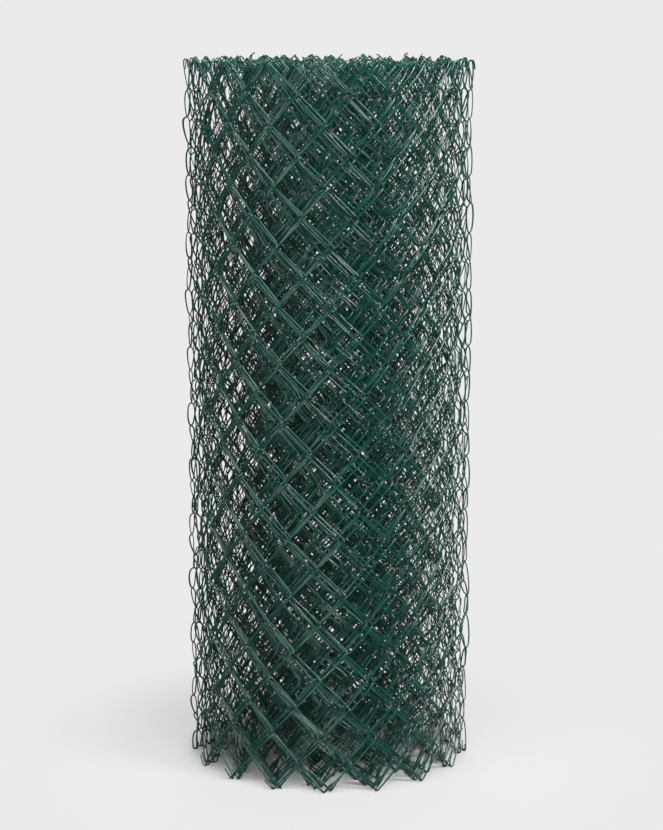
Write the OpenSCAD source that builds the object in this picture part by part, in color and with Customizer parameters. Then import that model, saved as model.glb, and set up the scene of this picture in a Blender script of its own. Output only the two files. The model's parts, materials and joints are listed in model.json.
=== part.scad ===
// Roll of chain-link fencing, wound up tight and standing on its end.
// One wound solid: the fence runs from the bore outward in a spiral, its turns show on both ends,
// and its free edge makes a step one turn high down the back of the roll.

/* [Fence] */
// Width of the fence, which is the height of the roll
fence_height = 900; // [600:50:2400]
// Height of one open diamond of the mesh, from knuckle to knuckle
diamond_height = 72; // [40:1:100]

/* [Winding] */
// Diameter of the open bore that the fence is wound around
bore_d = 95; // [60:5:240]
// Number of full turns
turns = 27; // [8:1:40]
// Distance from one turn to the next, less than the mesh is thick because the turns bed together
turn_pitch = 5; // [4:0.25:12]

/* [Ends] */
// Share of the pitch that the gap between two turns takes up at the end faces
mouth_share = 0.5; // [0.3:0.01:0.7]
// Share of the pitch that the gap between two turns takes up at its floor
floor_share = 0.1; // [0.05:0.01:0.25]

/* [Hidden] */
$fn = 96;

// Half-turns of the spiral swing about two centres in turn, so that each one ends half a pitch
// farther out than it began and meets the next along a common tangent.
half_turn = 180;
half_pitch = turn_pitch / 2;
centre_shift = half_pitch / 2;
bore_r = bore_d / 2;
last_index = 2 * turns - 1;

// The free edge lies at the back of the roll, a quarter turn from the spiral's own start line.
free_edge_turn = 90;

// The turns stand apart down to the first row of knuckles, half a diamond from the end.
gap_depth = diamond_height / 2;
mouth_w = turn_pitch * mouth_share;
floor_w = turn_pitch * floor_share;

// Cuts run past the faces that they open, and the gap goes on widening there.
overrun = half_pitch;
rim_w = mouth_w + (mouth_w - floor_w) * overrun / gap_depth;

// Distance from the axis to the inside of the layer at the start of a half-turn
function start_r(index) = bore_r + index * half_pitch;

// Swings a profile, drawn from the inside of the layer outward, through one half-turn of the spiral
module half_turn_sweep(index) {
    rotate([0, 0, index * half_turn])
        translate([-centre_shift, 0, 0])
            rotate_extrude(angle = half_turn)
                translate([start_r(index) + centre_shift, 0])
                    children();
}

// Half of the wound body, from the axis out to the face of one half-turn of the last layer
module body_half(index) {
    rotate([0, 0, index * half_turn])
        translate([-centre_shift, 0, 0])
            rotate_extrude(angle = half_turn)
                square([start_r(index) + centre_shift + turn_pitch, fence_height]);
}

// Section of the gap along the outside of a layer, with its mouth at zero height and its floor below
module gap_section() {
    translate([turn_pitch, 0])
        polygon([
            [-floor_w / 2, -gap_depth],
            [floor_w / 2, -gap_depth],
            [rim_w / 2, overrun],
            [-rim_w / 2, overrun]
        ]);
}

// Spiral gap along the turns of the upper end, run on straight past the free edge
module spiral_gap() {
    for (index = [0 : last_index])
        half_turn_sweep(index) gap_section();
    translate([start_r(last_index + 1), overrun, 0])
        rotate([90, 0, 0])
            linear_extrude(height = overrun)
                gap_section();
}

// The wound roll
module fence_roll() {
    color("darkgreen")
        rotate([0, 0, free_edge_turn])
            difference() {
                union() {
                    body_half(last_index - 1);
                    body_half(last_index);
                }
                translate([0, 0, -overrun])
                    cylinder(h = fence_height + 2 * overrun, r = bore_r);
                translate([0, 0, fence_height])
                    spiral_gap();
                mirror([0, 0, 1])
                    spiral_gap();
            }
}

fence_roll();
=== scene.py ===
# %% [markdown]
# A roll of chain link fencing stands on its end. More than nineteen metres of green plastic-coated wire
# mesh are wound up tight, so that one looks into twenty-seven turns of diamonds, and only specks of light
# come through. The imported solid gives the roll's size and its winding. This lesson weaves the real wires,
# winds them along the same spiral, and then coats and lights them.

# %% Load the frame
import json
import math

import bmesh
import bpy
import numpy as np
from mathutils import Matrix, Vector


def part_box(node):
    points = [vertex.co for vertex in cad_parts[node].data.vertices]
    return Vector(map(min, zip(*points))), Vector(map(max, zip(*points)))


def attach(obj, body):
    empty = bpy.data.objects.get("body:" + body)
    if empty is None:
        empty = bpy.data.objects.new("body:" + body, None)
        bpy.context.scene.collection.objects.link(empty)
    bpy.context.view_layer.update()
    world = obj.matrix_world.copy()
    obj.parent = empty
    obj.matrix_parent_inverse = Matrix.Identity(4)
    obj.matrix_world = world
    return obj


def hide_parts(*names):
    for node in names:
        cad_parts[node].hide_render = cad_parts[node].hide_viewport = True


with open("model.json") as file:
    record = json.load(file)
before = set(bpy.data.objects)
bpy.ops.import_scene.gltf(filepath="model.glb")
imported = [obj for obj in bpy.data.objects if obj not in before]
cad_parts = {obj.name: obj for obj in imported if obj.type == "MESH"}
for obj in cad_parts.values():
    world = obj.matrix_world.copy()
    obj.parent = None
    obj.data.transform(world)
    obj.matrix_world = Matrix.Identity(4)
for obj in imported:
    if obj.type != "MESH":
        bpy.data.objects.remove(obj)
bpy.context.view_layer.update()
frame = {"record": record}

# %% [markdown]
# Every size of the winding can be read from the frame. The bore mount gives the hole. The spiral starts
# and ends at the back of the roll, on +Y. Its front is half a turn older than its free edge, so the box
# is half a pitch deeper behind the axis than before it.

# %% Read the winding from the frame
mounts = {mount["name"]: mount for mount in frame["record"]["mounts"]}
low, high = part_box("fence_roll")
fence_height = high.z - low.z
bore_radius = mounts["bore"]["dims"]["r_mm"] / 1000
turn_pitch = 2 * (high.y + low.y)
edge_radius = high.y
turn_count = round((edge_radius - bore_radius) / turn_pitch - 1)
print("pitch", round(turn_pitch * 1000, 2), "mm,", turn_count, "turns")

# %% [markdown]
# The weave comes next. Chain link is made of wires that are each bent into a flat corkscrew. A wire runs
# up to the right on the outer face of the fence, bends round, and runs up to the left on the inner face.
# It hooks into its neighbours at the bends, and these hooks are the knuckles of the mesh. Twenty-five
# half diamonds fill the width of the fence.

# %% Sizes of the weave
wire_diameter = 0.0020
half_rows = 25
wire_spacing = 0.0325
weave_depth = 0.0076
half_row_height = (fence_height - wire_diameter) / half_rows
reach = (wire_spacing + wire_diameter) / 2
print("half row", round(half_row_height * 1000, 2), "mm, wire spacing", wire_spacing * 1000, "mm")

# %% [markdown]
# Seen from above, one wire goes round a flat loop. A superellipse has the right character: long sides
# that bow outwards a little, and round ends for the hooks. The crown of each side is pushed towards its
# upper hook, because the loose loops on the outline of a real roll are fullest near their tops.

# %% The loop that one wire goes round
full_turn = 2 * math.pi
loop_power = 2.7
crown_lift = 0.42
half_steps = 1440


def signed_power(value, power):
    return np.sign(value) * np.abs(value) ** power


loop_angle = np.linspace(0, full_turn, 2 * half_steps + 1)
loop_across = reach * signed_power(np.cos(loop_angle), 2 / loop_power)
lifted_angle = loop_angle - crown_lift * np.sin(loop_angle) ** 2
loop_depth = -weave_depth / 2 * signed_power(np.sin(lifted_angle), 2 / loop_power)
steps = np.hypot(np.diff(loop_across), np.diff(loop_depth))
loop_run = np.concatenate([[0], np.cumsum(steps)])
loop_length = loop_run[-1]
half_loop = loop_length / 2
wire_run = half_loop * half_rows
print("one loop takes", round(loop_length * 1000, 1), "mm in plan")

# %% [markdown]
# The height along the loop gives the two faces their own slopes. The outer runs are pulled straight from
# knuckle to knuckle. The inner runs lie flatter, and the wire climbs the rest in the bends behind them.

# %% The climb of a wire
outer_pull = 0.85
outer_share = (loop_across[half_steps:] + reach) / (2 * reach)
outer_part = loop_run[half_steps:] / half_loop - 1


def wire_height(run, first_bend):
    half = np.floor(run / half_loop)
    part = run / half_loop - half
    pulled = outer_pull * np.interp(part, outer_part, outer_share) + (1 - outer_pull) * part
    on_outer_face = (half + first_bend) % 2 == 1
    return half_row_height * (half + np.where(on_outer_face, pulled, part))


# %% [markdown]
# At the two edges of the fence a wire ends in a hook: it goes round the last bend and comes back beside
# itself for a centimetre. Measuring the run by its distance from the last bend folds the line over there.
# Mixing in some of the unfolded run opens the hook, up to a cut end that sticks out, and the upper edge of
# a real roll always has a few of those.

# %% The line that one wire follows
hook_round = 0.003
hook_fade = 3 * hook_round


def folded(run):
    return np.hypot(run, hook_round) - hook_round * np.exp(-(run / hook_fade) ** 2)


def wire_line(run, first_bend, top_opening):
    place = (run + first_bend * half_loop) % loop_length
    across = np.interp(place, loop_run, loop_across)
    depth = np.interp(place, loop_run, loop_depth)
    to_top = wire_run - run
    top_run = (1 - top_opening) * folded(to_top) + top_opening * to_top
    in_lower_half = run < wire_run / 2
    climb_run = np.where(in_lower_half, folded(run), wire_run - top_run)
    height = wire_height(climb_run, first_bend) + wire_diameter / 2
    return np.stack([across, depth, height], axis=1)


# %% [markdown]
# A tube along that line needs rings close together in the bends and few of them on the long runs. The
# stations of half a loop are measured from the middle of a bend. The outer turns, which are seen best, get
# more rings and more sides than the inner ones.

# %% Stations of the rings along a wire
hook_step = 0.0024


def ring_stations(bend_stations, with_middle, tail_length):
    bend_stations = np.array(bend_stations)
    middle = [half_loop / 2] if with_middle else []
    pattern = np.concatenate([bend_stations, middle, half_loop - bend_stations[:0:-1]])
    rows = [half_loop * row + pattern for row in range(half_rows)]
    tail_steps = np.arange(hook_step, tail_length + hook_step / 2, hook_step)
    return np.concatenate([-tail_steps[::-1], *rows, [wire_run], wire_run + tail_steps])


# %% [markdown]
# The wire itself is a circle that is extruded from ring to ring. Each new ring is swung over by the
# smallest turn between the two headings, so that the tube doesn't twist. The extrusion hands the column
# number of a vertex on to its copy, which later lays each wire out as a flat strip. The winding will turn
# the depth of the fence outwards, which mirrors it, so the faces are turned over beforehand.

# %% Headings along a wire


def headings_along(points):
    headings = [(points[1] - points[0]).normalized()]
    headings += [(after - before).normalized() for before, after in zip(points, points[2:])]
    headings.append((points[-1] - points[-2]).normalized())
    return headings


# %% Bend one wire


def bend_wire(sides, stations, first_bend, top_opening):
    points = [Vector(point) for point in wire_line(stations, first_bend, top_opening)]
    headings = headings_along(points)
    bm = bmesh.new()
    column = bm.verts.layers.int.new("column")
    ring = bm.verts.layers.int.new("ring")
    facing = headings[0].to_track_quat("Z", "Y").to_matrix().to_4x4()
    start = Matrix.Translation(points[0]) @ facing
    bmesh.ops.create_circle(bm, cap_ends=True, segments=sides, radius=wire_diameter / 2, matrix=start)
    for number, vert in enumerate(bm.verts):
        vert[column] = number
    edges = list(bm.edges)
    for number in range(1, len(points)):
        grown = bmesh.ops.extrude_edge_only(bm, edges=edges)["geom"]
        verts = [item for item in grown if isinstance(item, bmesh.types.BMVert)]
        for vert in verts:
            vert[ring] = number
        edges = [item for item in grown if isinstance(item, bmesh.types.BMEdge)]
        edges = [edge for edge in edges if edge.verts[0] in verts and edge.verts[1] in verts]
        swing = headings[number - 1].rotation_difference(headings[number]).to_matrix().to_4x4()
        step = Matrix.Translation(points[number]) @ swing @ Matrix.Translation(-points[number - 1])
        bmesh.ops.transform(bm, matrix=step, verts=verts)
    bmesh.ops.edgeloop_fill(bm, edges=edges)
    bmesh.ops.recalc_face_normals(bm, faces=bm.faces)
    bmesh.ops.reverse_faces(bm, faces=bm.faces)
    wire = wire_arrays(bm, column, ring, sides, len(points))
    bm.free()
    return wire


# %% Take the arrays of a wire


def wire_arrays(bm, column, ring, sides, ring_count):
    bm.verts.index_update()
    strip = []
    for face in bm.faces:
        columns = [vert[column] for vert in face.verts]
        rings = [vert[ring] for vert in face.verts]
        strip += strip_corners(columns, rings, sides, ring_count)
    return {
        "places": np.array([vert.co for vert in bm.verts]),
        "faces": [[vert.index for vert in face.verts] for face in bm.faces],
        "strip": np.array(strip),
    }


# %% [markdown]
# The strip puts the columns of a wire side by side and its rings one above the other. The last column
# closes the tube, so a face that touches both the first and the last one goes to the far side of the
# strip. The two end discs lie in the margins beyond the ends of the strip.

# %% Lay a wire out as a strip
strip_margin = 0.01
disc_middle = 0.4 * strip_margin
disc_height = 0.3 * strip_margin
disc_width = 0.4


def strip_corners(columns, rings, sides, ring_count):
    if len(set(rings)) == 1:
        middle = disc_middle if rings[0] == 0 else 1 - disc_middle
        angles = [full_turn * number / sides for number in columns]
        across = [0.5 + disc_width * math.cos(angle) for angle in angles]
        along = [middle + disc_height * math.sin(angle) for angle in angles]
        return list(zip(across, along))
    closing = {0, sides - 1} <= set(columns)
    across = [sides if closing and number == 0 else number for number in columns]
    along = [strip_margin + (1 - 2 * strip_margin) * number / (ring_count - 1) for number in rings]
    return [(step / sides, rise) for step, rise in zip(across, along)]


# %% [markdown]
# Three grades of wire are bent. In each grade there are wires that start at their right bend and wires
# that start at their left bend, because neighbours hook into each other. Their upper ends are closed
# hooks, half open ones or cut ends.

# %% Bend the wires
tail = 0.0125
cut_tail = 0.0072
grades = {
    "near": (8, [0, 0.0022, 0.0046, 0.0085, 0.0145], True),
    "middle": (6, [0, 0.0034, 0.0085], True),
    "deep": (4, [0, 0.0042, 0.011], False),
}
tops = [(tail, 0.0), (tail, 0.2), (cut_tail, 0.75)]
wire_kinds = {}
for grade, (sides, bend_stations, with_middle) in grades.items():
    for first_bend in (0, 1):
        for top, (top_tail, opening) in enumerate(tops):
            stations = ring_stations(bend_stations, with_middle, top_tail)
            wire_kinds[grade, first_bend, top] = bend_wire(sides, stations, first_bend, opening)
    print(grade, "wire:", len(wire_kinds[grade, 0, 0]["faces"]), "faces")

# %% [markdown]
# Winding is the next step. The solid's spiral is followed from the free edge inwards. The outermost
# turns of a roll that has been handled sit looser than the rest, so the drop from turn to turn is a
# little larger there, and the turns below share what is left down to the bore. The outermost loops stand
# full and round, the inner ones are pressed flat, and some give is left for loops that bulge.

# %% The radius of the spiral
slack = 0.005
slack_turns = 1.6
face_fullness = 0.85
core_fullness = 0.55
outer_give = 0.0024
edge_room = face_fullness * weave_depth / 2 + wire_diameter / 2 + outer_give
core_room = core_fullness * weave_depth / 2 + wire_diameter / 2
wound_depth = edge_radius - edge_room - bore_radius - core_room
inner_drop = (wound_depth - slack) / turn_count


def turns_below_edge(angle):
    return turn_count - angle / full_turn


def wire_radius(angle):
    below = turns_below_edge(angle)
    loosened = slack * (1 - np.exp(-(below / slack_turns) ** 2))
    return edge_radius - edge_room - inner_drop * below - loosened


print("inner turns lie", round(inner_drop * 1000, 2), "mm apart")

# %% [markdown]
# The turns aren't free to lie anywhere: the knuckles of one turn catch in the turn below it. On the front
# of the roll each turn lies four millimetres to the left of the one above it, so the wires that rise to
# the left show there as bundles of parallel lines. Deeper turns wander from that rule by chance. Towards
# the left the turns gather again, so that their diamonds line up and leave large holes. Towards the right
# they slip freely, and nothing lines up. One curve carries all of this: the count of wires from the bore
# to any angle. Its value is set where a turn passes the front, and its slope on both sides of there. Apart
# from the steps, whole pairs of wires lie between two fronts, so that like bends lie over like ones.

# %% Where the turns lie at the front
rng = np.random.default_rng(12)
front_angle = math.pi * (2 * np.arange(turn_count) + 1)
front_depth = np.arange(turn_count)[::-1]
front_radius = wire_radius(front_angle)
face_tip = -0.0018
step_left = 0.0041
most_drawn_in = 0.15
drawn_in = np.clip(1 - front_radius / front_radius[-1], 0, most_drawn_in)
front_spacing = wire_spacing * (1 - drawn_in)
wander_depths = [0, 2, 3, 4]
wander_sizes = [0, 0.0006, 0.002, 0.009]
wander_play = np.interp(front_depth, wander_depths, wander_sizes)
chance = rng.normal(0, 1, turn_count) * wander_play
wander = np.cumsum(chance[::-1])[::-1]
front_step = -step_left * front_depth + wander
wanted_phase = 0.5 - (face_tip + front_step) / front_spacing
print("the second turn lies", round(-front_step[-2] * 1000, 1), "mm to the left of the outermost")

# %% How close the wires lie beside the front
gather_share = 0.6
gather_reach = 0.11
most_gathered = 0.1
slip_play = 0.09
most_slip = 0.14
gather = np.clip(-gather_share * wander / gather_reach, -most_gathered, most_gathered)
left_slope = full_turn * front_radius / front_spacing * (1 + gather)
slip = 1 + np.clip(rng.normal(0, 1, turn_count) * slip_play, -most_slip, most_slip)
slip[-1] = 1.0
right_slope = full_turn * front_radius / wire_spacing * slip
print("on the right the spacing varies by up to", round(100 * np.abs(slip - 1).max()), "percent")

# %% Count the wires up to each front
front_count = [math.pi * front_radius[0] / wire_spacing]
for turn in range(1, turn_count):
    guess = front_count[-1] + full_turn * wire_radius(front_angle[turn] - math.pi) / wire_spacing
    front_count.append(wanted_phase[turn] + 2 * round((guess - wanted_phase[turn]) / 2))
front_count = np.array(front_count)
print("wires in each turn:", np.round(np.diff(front_count), 1))

# %% [markdown]
# Between two fronts the count of wires runs along a smooth cubic. Before the first front and after the
# last one it goes on straight. Turned round, this curve gives the angle of any wire.

# %% The angle at which each wire lies
grid_overhang = 1.2
grid_steps = 40000
last_angle = full_turn * turn_count
angle_grid = np.linspace(-grid_overhang, last_angle + grid_overhang, grid_steps + 1)
turn_at = np.clip(np.floor((angle_grid - math.pi) / full_turn), 0, turn_count - 2).astype(int)
along = (angle_grid - front_angle[turn_at]) / full_turn
inside = np.clip(along, 0, 1)
start_slope = right_slope[turn_at]
end_slope = left_slope[turn_at + 1]
count_grid = (2 * inside ** 3 - 3 * inside ** 2 + 1) * front_count[turn_at]
count_grid += (inside ** 3 - 2 * inside ** 2 + inside) * start_slope
count_grid += (3 * inside ** 2 - 2 * inside ** 3) * front_count[turn_at + 1]
count_grid += (inside ** 3 - inside ** 2) * end_slope
count_grid += np.minimum(along, 0) * left_slope[turn_at]
count_grid += np.maximum(along - 1, 0) * right_slope[turn_at + 1]
assert np.all(np.diff(count_grid) > 0), "the wires have to follow each other"


def wire_angle(count):
    return np.interp(count, count_grid, angle_grid)


first_wire = math.ceil(np.interp(0, angle_grid, count_grid))
last_wire = math.floor(np.interp(last_angle, angle_grid, count_grid))
wires = np.arange(first_wire, last_wire + 1)
turn_of_wire = np.clip(np.floor(wire_angle(wires) / full_turn), 0, turn_count - 1).astype(int)
print(len(wires), "wires, about", round(len(wires) * wire_spacing, 2), "m of fence")

# %% [markdown]
# No hand-wound roll is even. Slow waves along the fence push the weave in and out, sideways and up and
# down by a millimetre or so. A noise texture could do that too. Sums of a few sines with fixed random
# phases are simpler to follow along the unrolled fence, and hooked neighbours move together in them.

# %% Slow waves along the fence
wave_count = 6


def wave_set(shortest, longest):
    lengths = rng.uniform(shortest, longest, (wave_count, 2))
    phases = rng.uniform(0, full_turn, wave_count)
    signs = rng.choice([-1, 1], wave_count)
    return lengths, phases, signs


def wave(waves, run, height):
    total = np.zeros_like(height)
    for (run_length, rise_length), phase, sign in zip(*waves):
        total += np.sin(full_turn * (run / run_length + sign * height / rise_length) + phase)
    return total / math.sqrt(wave_count)


sideways_waves = wave_set(shortest=0.18, longest=0.6)
depth_waves = wave_set(shortest=0.14, longest=0.5)
upright_waves = wave_set(shortest=0.2, longest=0.8)
fullness_waves = wave_set(shortest=0.08, longest=0.25)
sideways_play = 0.0011
depth_play = 0.0010
upright_play = 0.0010
fullness_play = 0.24
print("the slow waves push the weave sideways by about", sideways_play * 1000, "mm")

# %% [markdown]
# The turns and the single wires have habits of their own. All columns lean a little to the left, because
# the fence wasn't started quite square. The turns inside have settled, so each sags a little below the
# one outside it, and the deep ones have moved about more. No two wires are bent quite alike, and each has
# small bows along its length.

# %% Small differences between the turns and the wires
turn_rise_play = 0.0010
turn_rise = np.abs(rng.normal(0, turn_rise_play, turn_count))
turn_rise[-1] = 0.0
fullness_spread = 0.1
shift_play = 0.0006
rise_play = 0.0008
twist_play = math.radians(5)
wire_fullness = rng.normal(1, fullness_spread, len(wires))
wire_shift = rng.normal(0, shift_play, len(wires))
wire_rise = rng.normal(0, rise_play, len(wires))
wire_twist = rng.normal(0, twist_play, len(wires))
bow = 0.0008
shortest_bow = 0.06
longest_bow = 0.16
bow_length = rng.uniform(shortest_bow, longest_bow, len(wires))
bow_phase = rng.uniform(0, full_turn, len(wires))
print("the fullest wire is", round(wire_fullness.max(), 2), "times as deep as the mean")

# %% Lean and sag of the turns
lean = -0.038
caught_turns = 3
caught_lean_play = 0.001
loose_lean_play = 0.008
lean_play = np.where(front_depth <= caught_turns, caught_lean_play, loose_lean_play)
turn_lean = lean + rng.normal(0, 1, turn_count) * lean_play
play_depths = [0, 1, 3, 4]
play_shares = [1.0, 1.5, 2.0, 2.6]
turn_play = np.interp(front_depth, play_depths, play_shares)
deepest_sag = 0.013
loose_sag_play = 0.005
turn_sag = deepest_sag * (1 - np.exp(-front_depth / caught_turns))
turn_sag += rng.normal(0, loose_sag_play, turn_count) * (front_depth > caught_turns)
print("the turns sag by up to", round(turn_sag.max() * 1000, 1), "mm")

# %% [markdown]
# At its two edges the fence has been knocked about, and its hooked pairs of wires are bent sideways by a
# few millimetres. Both wires of a pair move alike, so that their hooks stay together. At the lower edge
# the first wire is hooked to the second, and at the upper edge the second to the third.

# %% Bent pairs at the edges
splay_zone = 0.05
foot_splay_play = 0.005
top_splay_play = 0.003
outermost_splay_share = 0.4
pair_count = len(wires) // 2 + 2
foot_splay = rng.normal(0, foot_splay_play, pair_count)
top_splay = rng.normal(0, top_splay_play, pair_count)
foot_pair = wires // 2 - wires[0] // 2
top_pair = (wires + 1) // 2 - wires[0] // 2
turn_splay = np.where(front_depth == 0, outermost_splay_share, 1.0)
print(pair_count, "pairs are bent by up to", round(np.abs(foot_splay).max() * 1000, 1), "mm")

# %% [markdown]
# Now all these pushes are added up for a wire. The roll stands on its lower edge, where its turns have
# been stamped together. The step from turn to turn therefore fades out there, and no wire leaves the
# floor. At the upper edge most of the sag fades out too, so the hooks of all turns end nearly level.

# %% Sideways pushes on a wire
foot_zone = 0.16
foot_share = 0.8
held_turns = 5
foot_hold = foot_share * step_left * np.minimum(front_depth, held_turns)


def pushed_sideways(number, run, height):
    turn = turn_of_wire[number]
    below_top = fence_height - height
    waved = sideways_play * turn_play[turn] * wave(sideways_waves, run, height)
    bowed = bow * np.sin(full_turn * height / bow_length[number] + bow_phase[number])
    held = foot_hold[turn] * np.clip(1 - height / foot_zone, 0, 1) ** 2
    splayed = foot_splay[foot_pair[number]] * np.clip(1 - height / splay_zone, 0, 1)
    splayed += top_splay[top_pair[number]] * np.clip(1 - below_top / splay_zone, 0, 1)
    return wire_shift[number] + waved + bowed + held + turn_splay[turn] * splayed


# %% Upward pushes on a wire
floor_zone = 0.12
top_zone = 0.07
top_sag_share = 0.3


def pushed_up(number, run, height):
    turn = turn_of_wire[number]
    waved = upright_play * turn_play[turn] * wave(upright_waves, run, height)
    sag_share = np.clip((fence_height - height) / top_zone, top_sag_share, 1)
    lift = turn_rise[turn] + wire_rise[number] + (waved - turn_sag[turn]) * sag_share
    return lift * np.clip(height / floor_zone, 0, 1)


# %% [markdown]
# A wire is then twisted a little about its own axis, pushed, and carried onto the spiral: its place along
# the fence becomes an angle, and its depth is added to the radius there. No wire may reach into the bore.

# %% Carry a wire onto the spiral
pressed_turns = 8


def wind_wire(number, places):
    turn = turn_of_wire[number]
    run = wires[number] * wire_spacing
    height = places[:, 2]
    full = np.interp(front_depth[turn], [0, pressed_turns], [face_fullness, core_fullness])
    full = full * wire_fullness[number] * (1 + fullness_play * wave(fullness_waves, run, height))
    across = places[:, 0]
    depth = places[:, 1] * full
    cos_twist, sin_twist = math.cos(wire_twist[number]), math.sin(wire_twist[number])
    across, depth = across * cos_twist - depth * sin_twist, across * sin_twist + depth * cos_twist
    across = across + pushed_sideways(number, run, height)
    depth = depth + depth_play * wave(depth_waves, run, height)
    height = height + pushed_up(number, run, height)
    angle = wire_angle(wires[number] + (across + turn_lean[turn] * height) / wire_spacing)
    radius = np.maximum(wire_radius(angle) + depth, bore_radius)
    bearing = angle + math.pi / 2
    return np.stack([radius * np.cos(bearing), radius * np.sin(bearing), height], axis=1)


# %% [markdown]
# The wires of a turn are joined into one mesh from arrays, because several hundred separate objects would
# be slow to handle. The five outermost turns, which are seen best, each make a piece of their own. The
# turns below them are joined four at a time. The strips of all wires in a piece lie side by side in one
# map, with a narrow gap between each two.

# %% Choose the wires of each piece
top_odds = [0.93, 0.05, 0.02]
top_of_wire = rng.choice(len(tops), len(wires), p=top_odds)
outer_turns = 5
near_turns = 2
joined_turns = 4
deep_turns = turn_count - outer_turns
firsts = range(0, deep_turns, joined_turns)
groups = [range(first, min(first + joined_turns, deep_turns)) for first in firsts]
groups += [range(turn, turn + 1) for turn in range(deep_turns, turn_count)]


def grade_of_turn(turn):
    if turn >= turn_count - near_turns:
        return "near"
    return "middle" if turn >= deep_turns else "deep"


cut_ends = np.count_nonzero(top_of_wire == len(tops) - 1)
print(len(groups), "pieces,", cut_ends, "wires with a cut upper end")

# %% Wind the fence
band_share = 0.94
band_margin = (1 - band_share) / 2
pieces = []
for group in groups:
    members = np.flatnonzero(np.isin(turn_of_wire, group))
    all_places, all_faces, all_strips, offset = [], [], [], 0
    for band, number in enumerate(members):
        wire = wire_kinds[grade_of_turn(turn_of_wire[number]), wires[number] % 2, top_of_wire[number]]
        all_places.append(wind_wire(number, wire["places"]))
        all_faces += [[corner + offset for corner in face] for face in wire["faces"]]
        band_strip = wire["strip"] * (band_share, 1) + (band + band_margin, 0)
        all_strips.append(band_strip / (len(members), 1))
        offset += len(wire["places"])
    mesh = bpy.data.meshes.new("_".join(["fence_turn"] + [f"{turn + 1:02d}" for turn in group]))
    mesh.from_pydata(np.concatenate(all_places).tolist(), [], all_faces)
    strips = mesh.uv_layers.new(name="OFBake")
    strips.data.foreach_set("uv", np.concatenate(all_strips).astype(np.float32).ravel())
    mesh.shade_smooth()
    piece = bpy.data.objects.new(mesh.name, mesh)
    bpy.context.scene.collection.objects.link(piece)
    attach(piece, "root")
    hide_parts("fence_roll")
    pieces.append(piece)
triangles = [sum(len(face.vertices) - 2 for face in piece.data.polygons) for piece in pieces]
print("triangles in the largest piece", max(triangles), "and in all", sum(triangles))

# %% [markdown]
# The coating is dark green PVC with a satin shine. The colour was laid on unevenly, so there are paler and
# darker stretches along a wire, and its skin is faintly rippled. One noise drives both the colour and the
# roughness, which makes the pale stretches duller too. A finer one makes the ripple as bump, because it is
# only a few hundredths of a millimetre deep.

# %% Colour of the green plastic coating
coating = bpy.data.materials.new("green_plastic_coating")
coating.use_nodes = True
nodes = coating.node_tree.nodes
links = coating.node_tree.links
shader = nodes["Principled BSDF"]
shader.inputs["IOR"].default_value = 1.5
shader.inputs["Specular IOR Level"].default_value = 0.45
place = nodes.new("ShaderNodeTexCoord")
mottle = nodes.new("ShaderNodeTexNoise")
mottle.inputs["Scale"].default_value = 55.0
mottle.inputs["Detail"].default_value = 4.0
links.new(place.outputs["Object"], mottle.inputs["Vector"])
tint = nodes.new("ShaderNodeValToRGB")
tint.color_ramp.elements[0].position = 0.3
tint.color_ramp.elements[0].color = (0.0010, 0.030, 0.0227, 1)
tint.color_ramp.elements[1].position = 0.72
tint.color_ramp.elements[1].color = (0.0022, 0.060, 0.0455, 1)
links.new(mottle.outputs["Fac"], tint.inputs["Fac"])
links.new(tint.outputs["Color"], shader.inputs["Base Color"])
print("the coating is mottled with a noise of scale", mottle.inputs["Scale"].default_value)

# %% Shine and ripple of the coating
shine = nodes.new("ShaderNodeMapRange")
shine.inputs["To Min"].default_value = 0.15
shine.inputs["To Max"].default_value = 0.28
links.new(mottle.outputs["Fac"], shine.inputs["Value"])
links.new(shine.outputs["Result"], shader.inputs["Roughness"])
ripple = nodes.new("ShaderNodeTexNoise")
ripple.inputs["Scale"].default_value = 420.0
ripple.inputs["Detail"].default_value = 2.0
links.new(place.outputs["Object"], ripple.inputs["Vector"])
skin = nodes.new("ShaderNodeBump")
skin.inputs["Strength"].default_value = 0.25
skin.inputs["Distance"].default_value = 0.0002
links.new(ripple.outputs["Fac"], skin.inputs["Height"])
links.new(skin.outputs["Normal"], shader.inputs["Normal"])
for piece in pieces:
    piece.data.materials.append(coating)
print("coated", len(pieces), "pieces")

# %% [markdown]
# The camera stands a little above the roll's upper edge, nearly three metres away, and looks slightly
# down. Its lens follows from a focal length measured in pixels of the image.

# %% Camera
image_height = 830
focal_pixels = 2193.6
camera_data = bpy.data.cameras.new("camera")
camera_data.sensor_width = 36
camera_data.lens = camera_data.sensor_width * focal_pixels / image_height
camera = bpy.data.objects.new("camera", camera_data)
camera_side = 0.0047
camera.location = (camera_side, -2.774, 0.981)
aim = Vector((camera_side, 0, 0.446))
camera.rotation_mode = "QUATERNION"
camera.rotation_quaternion = (aim - camera.location).to_track_quat("-Z", "Y")
bpy.context.scene.collection.objects.link(camera)
bpy.context.scene.camera = camera
print("lens of", round(camera_data.lens, 1), "mm,", round((aim - camera.location).length, 2), "m away")

# %% [markdown]
# The floor is a pale disc that fades into a plain backdrop of the same tone. Close to the roll the camera
# sees the real light on it, which keeps a faint soft shadow. Farther out the floor glows in the tone of
# the backdrop, for the camera alone. For bounced light it is darker, so that the gaps between the wires
# stay dark as well.

# %% Floor
floor_radius = 6.0
floor_mesh = bpy.data.meshes.new("floor")
bm = bmesh.new()
bmesh.ops.create_circle(bm, cap_ends=True, segments=96, radius=floor_radius)
bm.to_mesh(floor_mesh)
bm.free()
floor = bpy.data.objects.new("floor", floor_mesh)
bpy.context.scene.collection.objects.link(floor)
print("floor of", floor_radius, "m radius")

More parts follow.
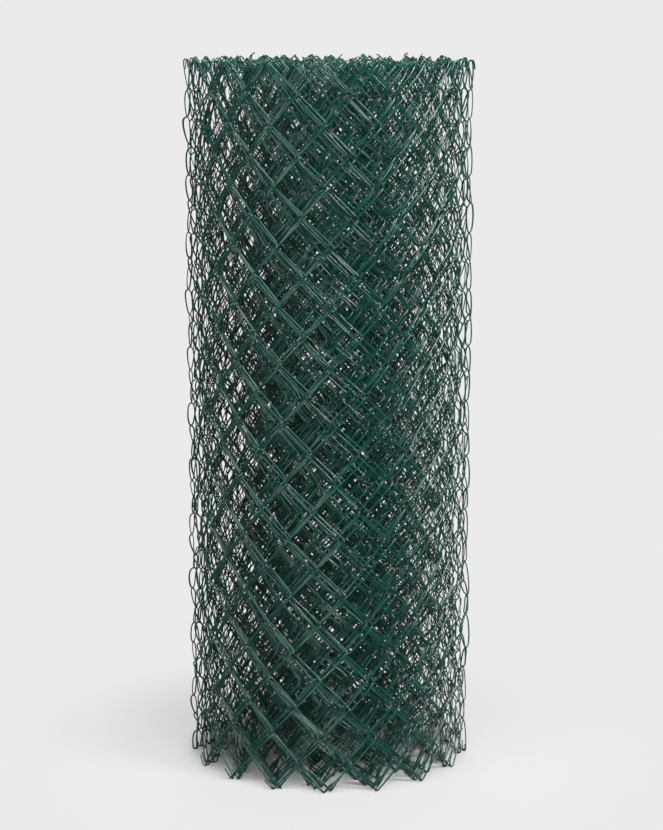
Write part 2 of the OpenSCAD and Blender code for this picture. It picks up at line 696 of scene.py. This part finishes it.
# %% Paper of the floor
backdrop_tone = 0.83
backdrop_colour = (backdrop_tone, backdrop_tone, backdrop_tone, 1)
paper = bpy.data.materials.new("floor_paper")
paper.use_nodes = True
nodes = paper.node_tree.nodes
links = paper.node_tree.links
matt = nodes["Principled BSDF"]
matt.inputs["Roughness"].default_value = 0.9
matt.inputs["Specular IOR Level"].default_value = 0.1
glow = nodes.new("ShaderNodeEmission")
glow.inputs["Color"].default_value = backdrop_colour
path = nodes.new("ShaderNodeLightPath")
pale = nodes.new("ShaderNodeMapRange")
pale.inputs["To Min"].default_value = 0.25
pale.inputs["To Max"].default_value = 0.42
links.new(path.outputs["Is Camera Ray"], pale.inputs["Value"])
links.new(pale.outputs["Result"], matt.inputs["Base Color"])
print("floor and backdrop have a tone of", backdrop_tone)

# %% Fade of the floor into the backdrop
place = nodes.new("ShaderNodeTexCoord")
distance = nodes.new("ShaderNodeVectorMath")
distance.operation = "LENGTH"
links.new(place.outputs["Object"], distance.inputs[0])
fade = nodes.new("ShaderNodeValToRGB")
fade.color_ramp.interpolation = "EASE"
fade.color_ramp.elements[0].position = 0.15
fade.color_ramp.elements[0].color = (0, 0, 0, 1)
fade.color_ramp.elements[1].position = 0.45
fade.color_ramp.elements[1].color = (1, 1, 1, 1)
beside = fade.color_ramp.elements.new(0.2)
beside.color = (0.6, 0.6, 0.6, 1)
links.new(distance.outputs["Value"], fade.inputs["Fac"])
seen = nodes.new("ShaderNodeMath")
seen.operation = "MULTIPLY"
links.new(fade.outputs["Color"], seen.inputs[0])
links.new(path.outputs["Is Camera Ray"], seen.inputs[1])
mix = nodes.new("ShaderNodeMixShader")
links.new(seen.outputs["Value"], mix.inputs["Fac"])
links.new(matt.outputs["BSDF"], mix.inputs[1])
links.new(glow.outputs["Emission"], mix.inputs[2])
links.new(mix.outputs["Shader"], nodes["Material Output"].inputs["Surface"])
floor_mesh.materials.append(paper)
print("the floor has faded", round(fade.color_ramp.elements[2].position, 2), "m from the roll's axis")

# %% [markdown]
# The pale backdrop stands behind the roll and lights it from there. The rest of the room is dim, or else
# it would shine into the roll and wash out its depth. The camera sees the backdrop wherever it looks.

# %% World
world = bpy.data.worlds.new("studio")
bpy.context.scene.world = world
world.use_nodes = True
nodes = world.node_tree.nodes
links = world.node_tree.links
ambient = nodes["Background"]
ambient.inputs["Color"].default_value = (1, 1, 1, 1)
ambient.inputs["Strength"].default_value = 0.02
wall = nodes.new("ShaderNodeBackground")
wall.inputs["Color"].default_value = backdrop_colour
place = nodes.new("ShaderNodeTexCoord")
parts = nodes.new("ShaderNodeSeparateXYZ")
links.new(place.outputs["Generated"], parts.inputs["Vector"])
behind = nodes.new("ShaderNodeMapRange")
behind.interpolation_type = "SMOOTHSTEP"
behind.inputs["From Min"].default_value = 0.3
behind.inputs["From Max"].default_value = 0.9
links.new(parts.outputs["Y"], behind.inputs["Value"])
room = nodes.new("ShaderNodeMixShader")
links.new(behind.outputs["Result"], room.inputs["Fac"])
links.new(ambient.outputs["Background"], room.inputs[1])
links.new(wall.outputs["Background"], room.inputs[2])
path = nodes.new("ShaderNodeLightPath")
mix = nodes.new("ShaderNodeMixShader")
links.new(path.outputs["Is Camera Ray"], mix.inputs["Fac"])
links.new(room.outputs["Shader"], mix.inputs[1])
links.new(wall.outputs["Background"], mix.inputs[2])
links.new(mix.outputs["Shader"], nodes["World Output"].inputs["Surface"])
print("the rest of the room has a strength of", round(ambient.inputs["Strength"].default_value, 3))

# %% [markdown]
# The main soft box hangs high on the right. Its light runs almost along the wires that rise to the right
# and strikes the ones that rise to the left square on, which is why those carry the bright lines. Two
# weaker boxes in front and above lengthen these lines to the left. A fill on the left lights the other
# wires, and a soft box behind the roll lights its back.

# %% Lamps
roll_middle = Vector((0, 0, fence_height / 2))


def soft_box(name, place, size, power):
    data = bpy.data.lights.new(name, "AREA")
    data.shape = "SQUARE"
    data.size = size
    data.energy = power
    lamp = bpy.data.objects.new(name, data)
    lamp.location = Vector(place)
    lamp.rotation_mode = "QUATERNION"
    lamp.rotation_quaternion = (roll_middle - lamp.location).to_track_quat("-Z", "Y")
    bpy.context.scene.collection.objects.link(lamp)


soft_box("key_soft_box", (2.5, -1.6, 2.3), 0.9, 170)
soft_box("front_soft_box", (1.1, -2.0, 2.8), 1.2, 65)
soft_box("top_soft_box", (-0.1, -1.5, 3.4), 1.2, 55)
soft_box("fill_soft_box", (-2.7, -1.8, 1.6), 1.4, 80)
soft_box("back_soft_box", (0, 3.1, 1.9), 1.6, 60)
bpy.context.scene.view_settings.view_transform = "Standard"
print("five soft boxes light the roll")
